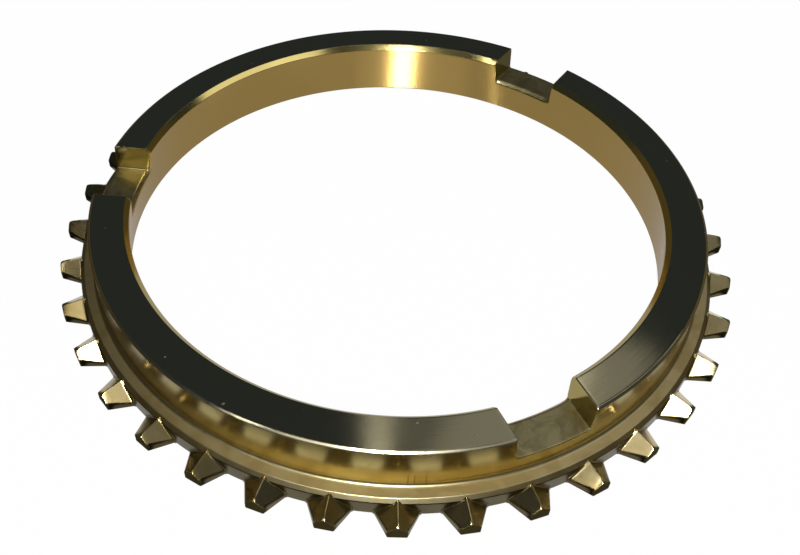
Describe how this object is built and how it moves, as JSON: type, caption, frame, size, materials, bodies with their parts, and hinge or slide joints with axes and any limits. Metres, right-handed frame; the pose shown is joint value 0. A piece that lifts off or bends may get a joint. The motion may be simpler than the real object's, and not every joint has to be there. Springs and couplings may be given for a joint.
{
  "type": "synchronizer ring",
  "caption": "One-piece brass synchronizer ring with a friction cone bore, key slots and dog teeth with roof-shaped chamfers.",
  "frame": {"origin": "on the ring's axis, in the plane of its toothed end face, which is the lower one", "axes": "+Z along the axis, from the toothed face to the face with the key slots; one key slot is centred on -X"},
  "size_m": [0.1454, 0.1454, 0.014],
  "materials": {
    "brass": "turned and milled, bright with light handling marks"
  },
  "bodies": {
    "root": {"synchronizer_ring": "brass"}
  },
  "joints": []
}
